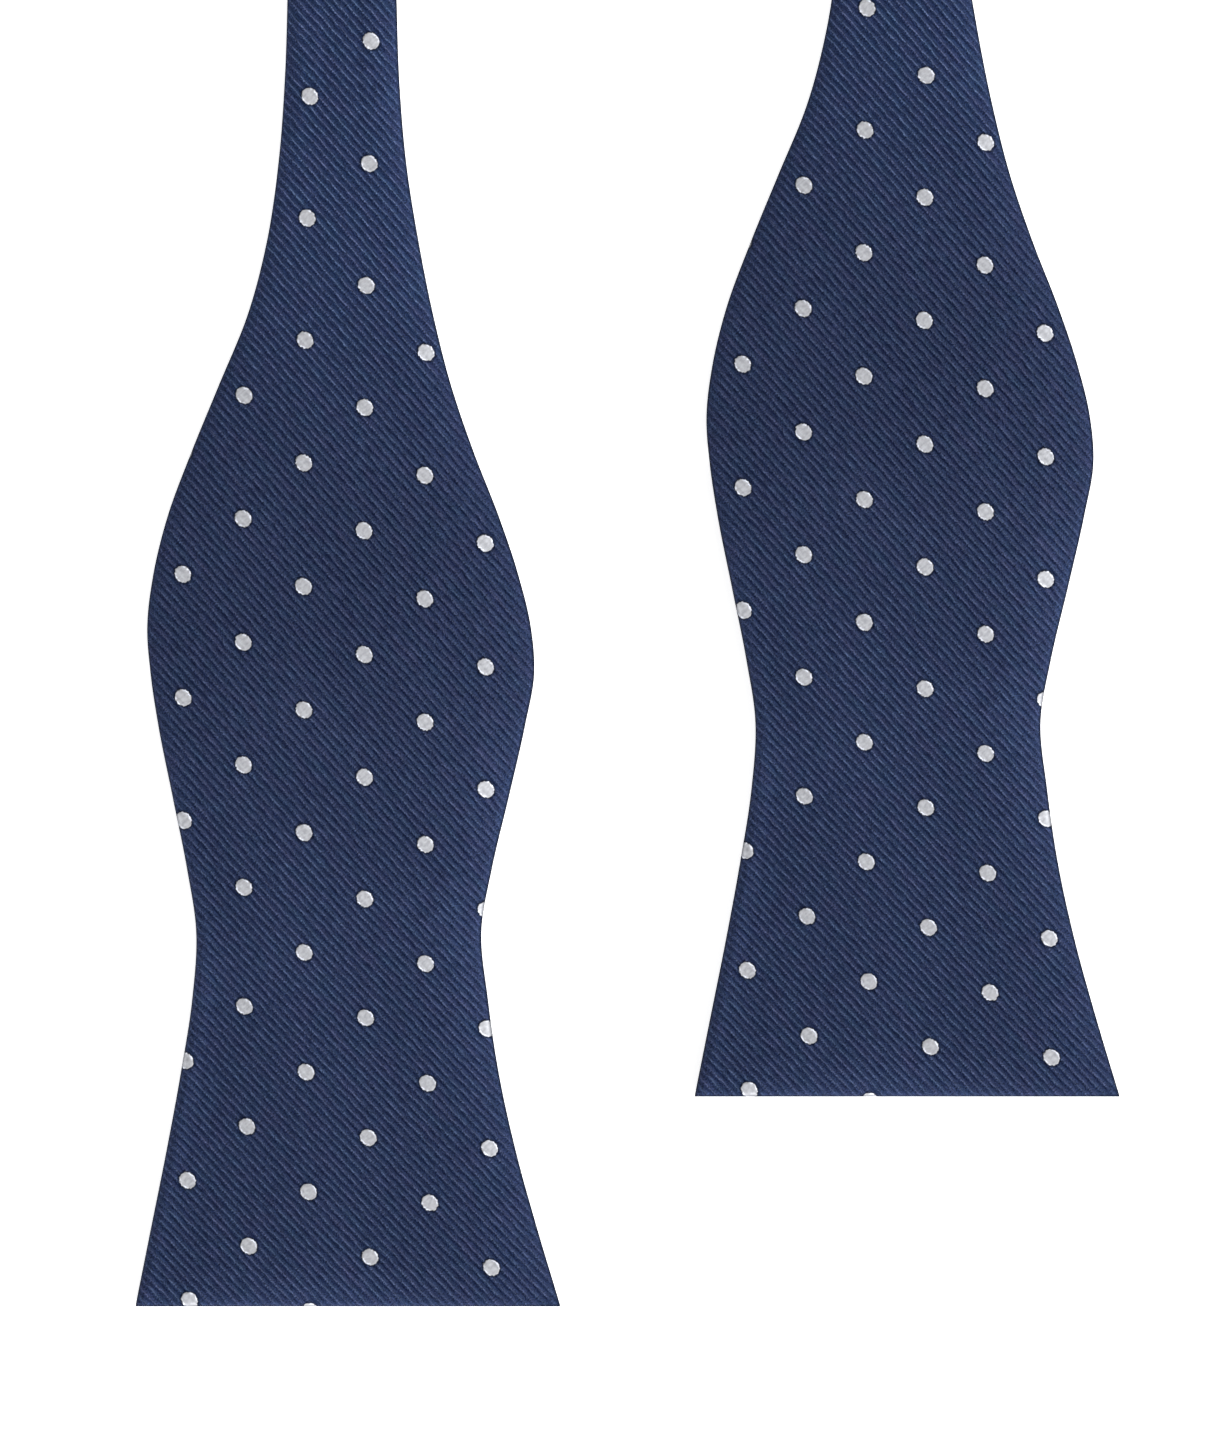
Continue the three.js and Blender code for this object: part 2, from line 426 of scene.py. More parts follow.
@dataclass(frozen=True)
class SilkFaille:
    """Silk faille, warp-faced and woven over thick wefts, with dots floated in a pale yarn.

    The thick wefts stand as fine rounded ribs. Their colour is partly the yarns' own and partly
    painted light: a painted highlight on the crests and painted shade, nearly black, between
    them. The dots are smooth satin and catch more light than the ground.
    Sizes are millimetres, and a pattern's pair of them is across and along the ribs.
    """

    name: str = "silk_faille_navy_pin_dot"
    weave: Weave = field(default_factory=Weave)

    # Ribs, 1.05 mm each: the colours from one groove over the crest to the next, in slack and
    # in drawn cloth, with painted shade in the grooves and a painted highlight on the crests, how
    # far a rib wanders, and how ragged its yarns make it, as shares of it
    shaded_rib_tones: tuple[tuple[float, str], ...] = (
        (0.0, "#0b132c"), (0.12, "#131c35"), (0.25, "#28314a"), (0.35, "#3d465e"),
        (0.46, "#2f3851"), (0.7, "#242d46"), (0.88, "#151e37"), (1.0, "#0b132c"),
    )
    drawn_shaded_rib_tones: tuple[tuple[float, str], ...] = (
        (0.0, "#111d39"), (0.14, "#18233f"), (0.3, "#26324f"), (0.4, "#576484"),
        (0.5, "#2b3854"), (0.7, "#232f4c"), (0.88, "#18233f"), (1.0, "#111d39"),
    )
    wander_mm: Pair = (1.3, 2.2)
    wander: float = 0.2
    ragged: float = 0.3

    # Yarns: the real ones lie about 0.1 mm apart, too fine to show in the picture, so their
    # grain is drawn as coarse as it needs to show, and their thick places a little wider
    grain_mm: Pair = (0.24, 0.24)
    grain_level: Pair = (0.2, 1.8)
    streak_mm: Pair = (0.32, 2.4)
    streak_level: Pair = (0.75, 1.25)

    # Patches where the yarns hide the ribs, and a border along the seam where they do
    mid_tone: str = "#232c46"
    patch_mm: Pair = (0.7, 1.1)
    patch_noise: Pair = (0.35, 0.55)
    patch_level: Pair = (0.4, 0.92)
    border_mm: Pair = (0.4, 2.6)
    border_level: float = 0.45

    # Dye: it takes a little redder or greener in places, and cloudy over some centimetres
    tint_mm: Pair = (2.0, 5.0)
    tints: tuple[tuple[float, ...], ...] = ((1.2, 0.93, 1.0, 1.0), (0.8, 1.07, 1.0, 1.0))
    cloud_mm: Pair = (17.0, 24.0)
    cloud_level: Pair = (0.94, 1.06)

    # Dots: 2.4 mm wide, with single yarns, drawn coarse too, that step their edge, and with a
    # painted shadow in a ring on the ground, from and to a distance outside the dot
    dot_core: str = "#a5a6aa"
    dot_rim_highlight: str = "#dee2ee"
    dot_radius: float = 1.225
    dot_stretch: tuple[float, float, float] = (1.04, 0.92, 0.0)
    dot_blend: float = 0.07
    step_mm: Pair = (0.42, 0.3)
    step_height: float = 0.14
    dot_shadow_mm: Pair = (0.05, 0.45)
    dot_shadow_level: float = 0.25

    # Floated yarn: a painted highlight where it turns over near the rim, from and to a distance
    # inside it, in lumps, and most where the rim faces across the ribs
    rim_highlight_mm: Pair = (0.34, 0.12)
    lump_mm: Pair = (0.5, 0.5)
    lump_noise: Pair = (0.35, 0.55)
    facing: Pair = (0.5, 0.95)
    facing_least: float = -0.08
    float_mm: Pair = (0.75, 0.45)
    float_noise: Pair = (0.3, 0.7)
    float_level: Pair = (0.83, 1.16)

    # Relief that is too fine for the mesh
    rib_bump: float = 0.05
    yarn_bump: float = 0.03
    dot_height: float = 0.12
    dot_yarn_bump: float = 0.015

    # How much finer layers of the noises count
    noise_roughness: float = 0.55

    # Finish: twisted yarns make it matt, and only the brighter crests and the dots have a sheen
    ior: float = 1.54
    roughness: float = 0.97
    dot_roughness: float = 0.85
    gloss_tone: Pair = (0.002, 0.05)
    gloss_level: Pair = (0.05, 0.34)
    specular_tint: str = "#8a9ad0"
    # Painted shade: the colour darkens over the last half millimetre to the seam, where the rolled edge
    # turns down out of the light
    painted_seam_shade_mm: float = 0.52
    painted_seam_shade_level: float = 0.12

    def material(self) -> bpy.types.Material:
        """Builds the silk's material, driven by the weave attribute in millimetres.

        Returns:
            The material.
        """
        made = add_material(self.name)
        tree = made.node_tree
        weave = add_node(tree, "ShaderNodeAttribute", out="Vector", attribute_name=WEAVE_ATTRIBUTE)
        edge = add_node(tree, "ShaderNodeSeparateXYZ", {0: weave}, out="Z")
        grain = self._noise(tree, weave, self.grain_mm, 1.0)
        rib = self._rib_phase(tree, weave, grain)
        place = self._from_dot(tree, weave)
        dot = self._dot_distance(tree, weave, place)
        inside = add_node(tree, "ShaderNodeMapRange", {
            "Value": dot,
            "From Min": self.dot_radius + self.dot_blend,
            "From Max": self.dot_radius - self.dot_blend,
        }, interpolation_type="SMOOTHSTEP")
        silk = add_node(tree, "ShaderNodeMix", {
            0: inside,
            6: self._ground(tree, weave, rib, grain, dot, edge),
            7: self._dot(tree, weave, dot, place),
        }, out=2, data_type="RGBA")
        # Painted shade along the seam, on the ground and the dots alike
        seam = add_node(tree, "ShaderNodeMapRange", {
            "Value": edge, "From Max": self.painted_seam_shade_mm, "To Min": self.painted_seam_shade_level,
        })
        colour = add_node(tree, "ShaderNodeVectorMath", {0: silk, "Scale": seam}, operation="SCALE")
        rough = add_node(tree, "ShaderNodeMapRange", {
            "Value": inside, "To Min": self.roughness, "To Max": self.dot_roughness,
        })
        gloss = add_node(tree, "ShaderNodeMapRange", {
            "Value": add_node(tree, "ShaderNodeRGBToBW", {0: colour}),
            "From Min": self.gloss_tone[0], "From Max": self.gloss_tone[1],
            "To Min": self.gloss_level[0], "To Max": self.gloss_level[1],
        })
        shader = add_node(tree, "ShaderNodeBsdfPrincipled", {
            "Base Color": colour,
            "Roughness": rough,
            "Normal": self._relief(tree, rib, grain, inside),
            "IOR": self.ior,
            "Specular IOR Level": gloss,
            "Specular Tint": linear(self.specular_tint),
        })
        add_node(tree, "ShaderNodeOutputMaterial", {"Surface": shader})
        return made

    def _noise(self, tree: Tree, weave: Socket, grain: Pair, detail: float) -> Socket:
        """Noise in the cloth's own plane.

        Args:
            tree: the material's node tree.
            weave: the cloth's coordinates in millimetres.
            grain: size of a grain across and along the ribs, in millimetres.
            detail: how many finer layers it has.

        Returns:
            The noise, mostly within NOISE_SPREAD.
        """
        scaled = add_node(tree, "ShaderNodeVectorMath", {0: weave, 1: (1 / grain[0], 1 / grain[1], 0.0)},
                          operation="MULTIPLY")
        return add_node(tree, "ShaderNodeTexNoise", {
            "Vector": scaled, "Scale": 1.0, "Detail": detail, "Roughness": self.noise_roughness,
        })

    def _rib_phase(self, tree: Tree, weave: Socket, grain: Socket) -> Socket:
        """Finds the place on a rib, which is slightly uneven.

        Args:
            tree: the material's node tree.
            weave: the cloth's coordinates in millimetres.
            grain: the yarns' grain.

        Returns:
            From 0 in one groove, over the crest, to 1 in the next groove.
        """
        across = add_node(tree, "ShaderNodeSeparateXYZ", {0: weave}, out="X")
        count = add_node(tree, "ShaderNodeMath", {
            0: across, 1: 1 / self.weave.rib_mm, 2: -self.weave.groove_at,
        }, operation="MULTIPLY_ADD")
        wandering = add_node(tree, "ShaderNodeMapRange", {
            "Value": self._noise(tree, weave, self.wander_mm, 1.0),
            "To Min": -self.wander, "To Max": self.wander,
        })
        moved = add_node(tree, "ShaderNodeMath", {0: count, 1: wandering}, operation="ADD")
        ragged = add_node(tree, "ShaderNodeMath", {0: grain, 1: self.ragged, 2: moved},
                          operation="MULTIPLY_ADD")
        level = add_node(tree, "ShaderNodeMath", {0: ragged, 1: self.ragged / 2}, operation="SUBTRACT")
        return add_node(tree, "ShaderNodeMath", {0: level}, operation="FRACT")

    def _from_dot(self, tree: Tree, weave: Socket) -> Socket:
        """Finds the way from the nearest dot's middle.

        Args:
            tree: the material's node tree.
            weave: the cloth's coordinates in millimetres.

        Returns:
            The way across and along the ribs, shortened along them, so that a dot is longer there.
        """
        half = (self.weave.across_mm / 2, self.weave.along_mm / 2, 1.0)
        local = add_node(tree, "ShaderNodeVectorMath", {0: weave, 1: half, 2: tuple(-x for x in half)},
                         operation="WRAP")
        return add_node(tree, "ShaderNodeVectorMath", {0: local, 1: self.dot_stretch}, operation="MULTIPLY")

    def _dot_distance(self, tree: Tree, weave: Socket, place: Socket) -> Socket:
        """Measures how far the nearest dot's middle is, with single yarns stepping its rim.

        Args:
            tree: the material's node tree.
            weave: the cloth's coordinates in millimetres.
            place: the way from the nearest dot's middle.

        Returns:
            The distance in millimetres.
        """
        length = add_node(tree, "ShaderNodeVectorMath", {0: place}, out="Value", operation="LENGTH")
        steps = add_node(tree, "ShaderNodeMapRange", {
            "Value": self._noise(tree, weave, self.step_mm, 0.0),
            "To Min": -self.step_height, "To Max": self.step_height,
        })
        return add_node(tree, "ShaderNodeMath", {0: length, 1: steps}, operation="ADD")

    def _ground(self, tree: Tree, weave: Socket, rib: Socket, grain: Socket, dot: Socket,
                edge: Socket) -> Socket:
        """Colours the ribbed ground: navy, with painted shade in the grooves, a painted shadow round the
        dots, and plainer ribs near the seam.

        Args:
            tree: the material's node tree.
            weave: the cloth's coordinates in millimetres.
            rib: the place on a rib.
            grain: the yarns' grain.
            dot: the distance from the nearest dot's middle.
            edge: the distance from the seam.

        Returns:
            The colour.
        """
        # The rib colours hold the yarns' own tone, painted shade in the grooves and a painted highlight on
        # the crests
        shades = []
        for stops in (self.shaded_rib_tones, self.drawn_shaded_rib_tones):
            ramp = add_node(tree, "ShaderNodeValToRGB", {0: rib})
            elements = ramp.node.color_ramp.elements
            while len(elements) < len(stops):
                elements.new(1.0)
            for element, (place, shade) in zip(elements, stops):
                element.position = place
                element.color = linear(shade)
            shades.append(ramp)
        drawn = add_node(tree, "ShaderNodeAttribute", out="Fac", attribute_name=DRAWN_ATTRIBUTE)
        ribbed = add_node(tree, "ShaderNodeMix", {0: drawn, 6: shades[0], 7: shades[1]}, out=2,
                          data_type="RGBA")
        patch = add_node(tree, "ShaderNodeMapRange", {
            "Value": self._noise(tree, weave, self.patch_mm, 1.0),
            "From Min": self.patch_noise[0], "From Max": self.patch_noise[1],
            "To Min": self.patch_level[0], "To Max": self.patch_level[1],
        })
        inner = add_node(tree, "ShaderNodeMapRange", {
            "Value": edge, "From Min": self.border_mm[0], "From Max": self.border_mm[1],
            "To Min": self.border_level,
        })
        clear = add_node(tree, "ShaderNodeMath", {0: patch, 1: inner}, operation="MULTIPLY")
        colour = add_node(tree, "ShaderNodeMix", {0: clear, 6: linear(self.mid_tone), 7: ribbed}, out=2,
                          data_type="RGBA")
        # Painted shadow: the ground is darkened in a ring just outside each dot
        ring = tuple(self.dot_radius + off for off in self.dot_shadow_mm)
        shading = (
            (grain, NOISE_SPREAD, self.grain_level),
            (self._noise(tree, weave, self.streak_mm, 1.0), NOISE_SPREAD, self.streak_level),
            (self._noise(tree, weave, self.cloud_mm, 0.0), NOISE_SPREAD, self.cloud_level),
            (dot, ring, (self.dot_shadow_level, 1.0)),
        )
        for value, spread, level in shading:
            scale = add_node(tree, "ShaderNodeMapRange", {
                "Value": value, "From Min": spread[0], "From Max": spread[1],
                "To Min": level[0], "To Max": level[1],
            })
            colour = add_node(tree, "ShaderNodeVectorMath", {0: colour, "Scale": scale}, operation="SCALE")
        tint = add_node(tree, "ShaderNodeMix", {
            0: self._noise(tree, weave, self.tint_mm, 1.0), 6: self.tints[0], 7: self.tints[1],
        }, out=2, data_type="RGBA")
        return add_node(tree, "ShaderNodeVectorMath", {0: colour, 1: tint}, operation="MULTIPLY")

    def _dot(self, tree: Tree, weave: Socket, dot: Socket, place: Socket) -> Socket:
        """Colours a dot: silver grey, with a painted highlight where its yarn turns over the rim to each
        side.

        Args:
            tree: the material's node tree.
            weave: the cloth's coordinates in millimetres.
            dot: the distance from the nearest dot's middle.
            place: the way from the nearest dot's middle.

        Returns:
            The colour.
        """
        # Painted highlight near the rim, in lumps, strongest where the rim faces across the ribs
        rim = add_node(tree, "ShaderNodeMapRange", {
            "Value": dot,
            "From Min": self.dot_radius - self.rim_highlight_mm[0],
            "From Max": self.dot_radius - self.rim_highlight_mm[1],
        }, interpolation_type="SMOOTHSTEP")
        lumps = add_node(tree, "ShaderNodeMapRange", {
            "Value": self._noise(tree, weave, self.lump_mm, 0.0),
            "From Min": self.lump_noise[0], "From Max": self.lump_noise[1],
        })
        way = add_node(tree, "ShaderNodeVectorMath", {0: place}, operation="NORMALIZE")
        across = add_node(tree, "ShaderNodeSeparateXYZ", {0: way}, out="X")
        sideways = add_node(tree, "ShaderNodeMapRange", {
            "Value": add_node(tree, "ShaderNodeMath", {0: across}, operation="ABSOLUTE"),
            "From Min": self.facing[0], "From Max": self.facing[1], "To Min": self.facing_least,
        })
        turned = add_node(tree, "ShaderNodeMath", {0: lumps, 1: sideways}, operation="MULTIPLY")
        bright = add_node(tree, "ShaderNodeMath", {0: rim, 1: turned}, operation="MULTIPLY")
        silver = add_node(tree, "ShaderNodeMix", {
            0: bright, 6: linear(self.dot_core), 7: linear(self.dot_rim_highlight),
        }, out=2, data_type="RGBA", clamp_factor=False)
        floats = add_node(tree, "ShaderNodeMapRange", {
            "Value": self._noise(tree, weave, self.float_mm, 1.0),
            "From Min": self.float_noise[0], "From Max": self.float_noise[1],
            "To Min": self.float_level[0], "To Max": self.float_level[1],
        })
        return add_node(tree, "ShaderNodeVectorMath", {0: silver, "Scale": floats}, operation="SCALE")

    def _relief(self, tree: Tree, rib: Socket, grain: Socket, inside: Socket) -> Socket:
        """Bends the light on fine relief: rib crests and yarns on the ground, and a raised dot.

        Args:
            tree: the material's node tree.
            rib: the place on a rib.
            grain: the yarns' grain.
            inside: 1 on a dot and 0 on the ground.

        Returns:
            The normal.
        """
        swing = add_node(tree, "ShaderNodeMath", {0: rib, 1: math.pi}, operation="MULTIPLY")
        arch = add_node(tree, "ShaderNodeMath", {0: swing}, operation="SINE")
        yarns = add_node(tree, "ShaderNodeMath", {0: grain, 1: self.yarn_bump}, operation="MULTIPLY")
        ground = add_node(tree, "ShaderNodeMath", {0: arch, 1: self.rib_bump, 2: yarns},
                          operation="MULTIPLY_ADD")
        raised = add_node(tree, "ShaderNodeMath", {0: grain, 1: self.dot_yarn_bump, 2: self.dot_height},
                          operation="MULTIPLY_ADD")
        height = add_node(tree, "ShaderNodeMix", {0: inside, 2: ground, 3: raised})
        return add_node(tree, "ShaderNodeBump", {"Height": height, "Distance": MM, "Strength": 1.0})


@dataclass(frozen=True)
class LightTable:
    """White opal acrylic, faintly lit from below: matt and even, with only a pale shadow."""

    name: str = "white_opal_acrylic"
    colour: str = "#fafafa"
    glow: float = 0.74

    def material(self) -> bpy.types.Material:
        """Builds the table's material.

        Returns:
            The material.
        """
        made = add_material(self.name)
        tree = made.node_tree
        matt = add_node(tree, "ShaderNodeBsdfDiffuse", {"Color": linear(self.colour)})
        glow = add_node(tree, "ShaderNodeEmission", {"Color": linear(self.colour), "Strength": self.glow})
        shader = add_node(tree, "ShaderNodeAddShader", {0: matt, 1: glow})
        add_node(tree, "ShaderNodeOutputMaterial", {"Surface": shader})
        return made


@dataclass(frozen=True)
class EdgeRoll:
    """How a layer of silk turns down over the sewn edge: a tight roll, then a long soft fall.

    Both reach inwards from the edge by a distance in millimetres. The tight roll takes its
    share of the whole rise, which is in millimetres too.
    """

    tight: float
    soft: float
    tight_share: float
    rise: float = 0.95

    def share(self, inset: np.ndarray) -> np.ndarray:
        """Finds how high the layer stands.

        Args:
            inset: distance from the edge, in plan.

        Returns:
            The share of its full height, from 0 to 1.
        """
        near = 1 - np.clip(inset / self.tight, 0, 1)
        far = 1 - np.clip(inset / self.soft, 0, 1)
        round_part = np.sqrt(np.clip(1 - near ** 2, 0, 1))
        return self.tight_share * round_part + (1 - self.tight_share) * (1 - far ** 2)

    def table(self) -> tuple[np.ndarray, np.ndarray]:
        """Lists how much curved cloth lies over the edge.

        Returns:
            Distances from the edge in plan, and the same along the cloth.
        """
        plan = np.linspace(0, self.soft, CURVE_POINTS)
        height = self.rise * self.share(plan)
        steps = np.hypot(np.diff(plan), np.diff(height))
        return plan, np.concatenate([[0.0], np.cumsum(steps)])

    @property
    def taken_up(self) -> float:
        """How much more cloth the turned edge needs than it covers in plan."""
        plan, cloth = self.table()
        return float(cloth[-1] - plan[-1])

    def inset(self, cloth: np.ndarray) -> np.ndarray:
        """Lays a distance over the turned edge.

        Args:
            cloth: distance from the seam along the cloth.

        Returns:
            Distance from the edge in plan.
        """
        plan, along = self.table()
        return np.where(cloth < along[-1], np.interp(cloth, along, plan), cloth - self.taken_up)


@dataclass(frozen=True)
class Swell:
    """A low soft swelling of the padded cloth, in millimetres."""

    u: float
    v: float
    wide: float
    long: float
    height: float

    def at(self, u: np.ndarray, v: np.ndarray) -> np.ndarray:
        """Its height at points of the cloth."""
        return self.height * np.exp(-((u - self.u) / self.wide) ** 2 - ((v - self.v) / self.long) ** 2)


@dataclass
class SilkPiece:
    """A sewn piece of the tie: two layers of silk over an interlining, seamed along its edges.

    Its mesh follows the ribs, so that each rib is real relief. Rows of points run along the
    ribs from the right edge to the left one. The face and the back share the seam between
    them. An end without a roll runs on into the next piece. All sizes are millimetres, and a
    pair of them is where something begins and ends.
    """

    node: str
    side: Side
    low: float
    high: float
    low_roll: EdgeRoll | None
    high_roll: EdgeRoll | None
    silk: SilkFaille
    route: Route

    # Crown, with the powers by which it falls to the left and to the right
    crown_per_width: float = 0.027
    crown_fall: Pair = (2.0, 3.0)
    swells: tuple[Swell, ...] = ()

    # Rolled edges, and the seam sunk between the lips of the two layers
    left_roll: EdgeRoll = field(default_factory=lambda: EdgeRoll(0.7, 2.0, 0.9))
    right_roll: EdgeRoll = field(default_factory=lambda: EdgeRoll(1.1, 8.0, 0.46))
    under_roll: EdgeRoll = field(default_factory=lambda: EdgeRoll(0.9, 2.5, 0.7, 0.75))
    seam_height: float = 0.75
    seam_depth: float = 0.12
    seam_lip: float = 0.1

    # Seam allowance folded inside: where it runs out, inwards from the edge. It rises in the neck.
    allowance: Pair = (3.6, 6.2)
    allowance_rise: float = 0.05
    neck_rise: float = 0.3
    neck_forms: Pair = (140.0, 185.0)

    # Fuller left edge: it thins above the waist and ends in the neck
    left_rim: float = 0.62
    rim_width: Pair = (0.5, 4.2)
    rim_thinning: float = 0.85
    rim_thins: Pair = (66.0, 92.0)
    rim_ends: Pair = (110.0, 150.0)

    # Ribs: their crest is nearer the lower left, and they fade into the seam
    rib_height: float = 0.09
    rib_crest: float = 0.4
    rib_fade: float = 0.9

    # Where the cloth is drawn tight: fully in the neck, and by a share below the waist
    drawn_neck: Pair = (120.0, 165.0)
    drawn_waist: Pair = (55.0, 95.0)
    waist_share: float = 0.35

    # Mesh: points stand along a row at the knots' distances from its ends, closer in a row
    # shorter than knot_room times the last, with even columns between. Rows keep a gap from
    # the corners and from the corners' own rows, and run row_reach past the ends at most.
    knots: tuple[float, ...] = (0.0, 0.0, 0.06, 0.16, 0.32, 0.55, 0.85, 1.25, 1.8, 2.7, 4.2, 6.2)
    back_knots: tuple[float, ...] = (0.0, 0.0, 0.15, 0.5, 1.1, 2.2)
    knot_room: float = 2.2
    columns: int = 30
    back_columns: int = 8
    rows_per_rib: int = 6
    corner_gap: float = 0.1
    row_gap: float = 0.05
    row_reach: float = 80.0

    # Map: the lengths that it is cut into, and the margins beside and beyond each
    folds: int = 1
    side_margin: float = 1.0
    end_margin: float = 4.0

    def left(self, v: np.ndarray) -> np.ndarray:
        """Distance of the cloth's left seam from the middle line, along the cloth."""
        return self.route.cut.left(v) + self.left_roll.taken_up

    def right(self, v: np.ndarray) -> np.ndarray:
        """Distance of the cloth's right seam from the middle line, along the cloth."""
        return self.route.cut.right(v) + self.right_roll.taken_up

    def plan(self, u: np.ndarray, v: np.ndarray) -> np.ndarray:
        """Lays the cloth over its rolled edges.

        Args:
            u: distance right of the middle line, along the cloth.
            v: distance from the straight end.

        Returns:
            Distance right of the middle line, in plan.
        """
        cut = self.route.cut
        from_right = cut.right(v) - self.right_roll.inset(np.clip(self.right(v) - u, 0, None))
        from_left = self.left_roll.inset(np.clip(u + self.left(v), 0, None)) - cut.left(v)
        return np.where(u > 0, from_right, from_left)

    def rows(self) -> np.ndarray:
        """Spaces the rows of points, with the two side corners' own rows among them.

        Returns:
            Each row's distance across the ribs from the first dot.
        """
        weave = self.silk.weave
        low, high = np.array([self.low]), np.array([self.high])
        first, _ = weave.coordinates(-self.left(low), low)
        last, _ = weave.coordinates(self.right(high), high)
        corners = [weave.coordinates(self.right(low), low)[0][0],
                   weave.coordinates(-self.left(high), high)[0][0]]
        step = weave.rib_mm / self.rows_per_rib
        groove = weave.groove_at * weave.rib_mm
        count = np.arange(math.ceil((first[0] - groove) / step), math.floor((last[0] - groove) / step) + 1)
        rows = [r for r in groove + count * step
                if first[0] + self.corner_gap < r < last[0] - self.corner_gap
                and min(abs(r - c) for c in corners) > self.row_gap]
        return np.array(sorted(rows + corners))

    def ends(self, rows: np.ndarray) -> tuple[np.ndarray, np.ndarray]:
        """Where each row meets the seam.

        Args:
            rows: the rows' places across the ribs.

        Returns:
            Distances from the straight end of each row's right and left ends.
        """
        weave = self.silk.weave
        found = []
        for edge in (self.right, lambda v: -self.left(v)):
            low = np.full(rows.shape, self.low - self.row_reach)
            high = np.full(rows.shape, self.high + self.row_reach)
            for _ in range(HALVINGS):
                middle = (low + high) / 2
                beyond = weave.on_rib(rows, middle) > edge(middle)
                low, high = np.where(beyond, middle, low), np.where(beyond, high, middle)
            found.append(np.clip((low + high) / 2, self.low, self.high))
        return found[0], found[1]

    def layout(self, knots: tuple[float, ...], columns: int) -> tuple[np.ndarray, np.ndarray]:
        """Lays points along every row, close together near the seam.

        Args:
            knots: distances from either end, up the blade, where points stand.
            columns: evenly spaced points between those.

        Returns:
            The weave's across coordinate and v of each point, by row and column.
        """
        rows = self.rows()
        right, left = self.ends(rows)
        length = (left - right)[:, None]
        near = np.array(knots)[None, :] * np.minimum(1.0, length / (self.knot_room * knots[-1]))
        share = np.linspace(0, 1, columns + 2)[1:-1][None, :]
        inner = near[:, -1:] + (length - 2 * near[:, -1:]) * share
        steps = np.concatenate([near, inner, length - near[:, ::-1]], axis=1)
        return np.repeat(rows[:, None], steps.shape[1], axis=1), right[:, None] + steps

    def thick(self, u: np.ndarray, v: np.ndarray) -> np.ndarray:
        """Adds up how thick the padded cloth is, leaving out its rolled edges.

        Args:
            u: distance right of the middle line, in plan.
            v: distance from the straight end.

        Returns:
            The full thickness at each point.
        """
        cut = self.route.cut
        left, right = cut.left(v), cut.right(v)
        to_left, to_right = self.crown_fall
        fallen = np.where(u > 0, np.abs(u / right) ** to_right, (u / left) ** to_left)
        full = self.route.thickness + self.crown_per_width * (left + right) * (1 - fallen)
        inset = np.minimum(u + left, right - u)
        rise = self.allowance_rise + (self.neck_rise - self.allowance_rise) * smooth(v, *self.neck_forms)
        full += rise * (1 - smooth(inset, *self.allowance))
        rim = self.left_rim * (1 - self.rim_thinning * smooth(v, *self.rim_thins))
        full += rim * (1 - smooth(v, *self.rim_ends)) * (1 - smooth(u + left, *self.rim_width))
        for swell in self.swells:
            full += swell.at(u, v)
        return full

    def sewn_ends(self, v: np.ndarray) -> list[tuple[EdgeRoll, np.ndarray]]:
        """Lists the ends that are sewn shut and don't run on into the next piece.

        Args:
            v: distance from the straight end.

        Returns:
            Each such end's roll, and how far each point is from that end.
        """
        both = ((self.low_roll, v - self.low), (self.high_roll, self.high - v))
        return [(roll, inset) for roll, inset in both if roll]

    def rolled(self, u: np.ndarray, v: np.ndarray, left_roll: EdgeRoll,
               right_roll: EdgeRoll) -> np.ndarray:
        """How much of its thickness a layer has, from 0 at the seam to 1 inside.

        Args:
            u: distance right of the middle line, in plan.
            v: distance from the straight end.
            left_roll: how the layer turns down at its left edge.
            right_roll: the same at its right edge.

        Returns:
            The share at each point.
        """
        cut = self.route.cut
        share = left_roll.share(u + cut.left(v)) * right_roll.share(cut.right(v) - u)
        for roll, inset in self.sewn_ends(v):
            share = share * roll.share(inset)
        return share

    def edge_distance(self, u: np.ndarray, v: np.ndarray) -> np.ndarray:
        """Measures how far the nearest sewn edge is.

        Args:
            u: distance right of the middle line, in plan.
            v: distance from the straight end.

        Returns:
            The distance in plan, at each point.
        """
        cut = self.route.cut
        nearest = np.minimum(u + cut.left(v), cut.right(v) - u)
        for _, inset in self.sewn_ends(v):
            nearest = np.minimum(nearest, inset)
        return np.clip(nearest, 0, None)

    def surface(self, panel: Panel) -> tuple[np.ndarray, np.ndarray]:
        """Works out one layer of silk.

        Args:
            panel: the layer.

        Returns:
            Its points in metres, and by row and column what each point keeps: the weave's
            across and along, the distance to the edge, how tightly it is drawn, and u and v.
        """
        weave = self.silk.weave
        front = panel is Panel.FACE
        across, v = self.layout(self.knots if front else self.back_knots,
                                self.columns if front else self.back_columns)
        cloth = weave.on_rib(across, v)
        flat = np.stack([cloth, v], -1)
        _, along = weave.coordinates(cloth, v)
        u = self.plan(cloth, v)
        edge = self.edge_distance(u, v)
        rib = self.rib_relief(across) * smooth(edge, 0.0, self.rib_fade)
        if front:
            share = self.rolled(u, v, self.left_roll, self.right_roll)
            height = self.seam_height + (self.thick(u, v) - self.seam_height) * share + rib
            lip = self.seam_lip
        else:
            share = self.rolled(u, v, self.under_roll, self.under_roll)
            height = self.seam_height * (1 - share) + (self.rib_height - rib) * share
            lip = -self.seam_lip
            along = along + weave.along_mm / 2
        height[:, 0] = height[:, -1] = self.seam_height
        for column in (1, -2):
            height[:, column] += lip * (edge[:, column] < TOUCHING_MM)
        for column in (0, -1):
            u[:, column] = self._pulled_in(u[:, column], v[:, column])
        placed = self.route.put(self.side, u, v, height)
        return placed, np.concatenate([np.stack([across, along, edge, self.drawn(v)], -1), flat], -1)

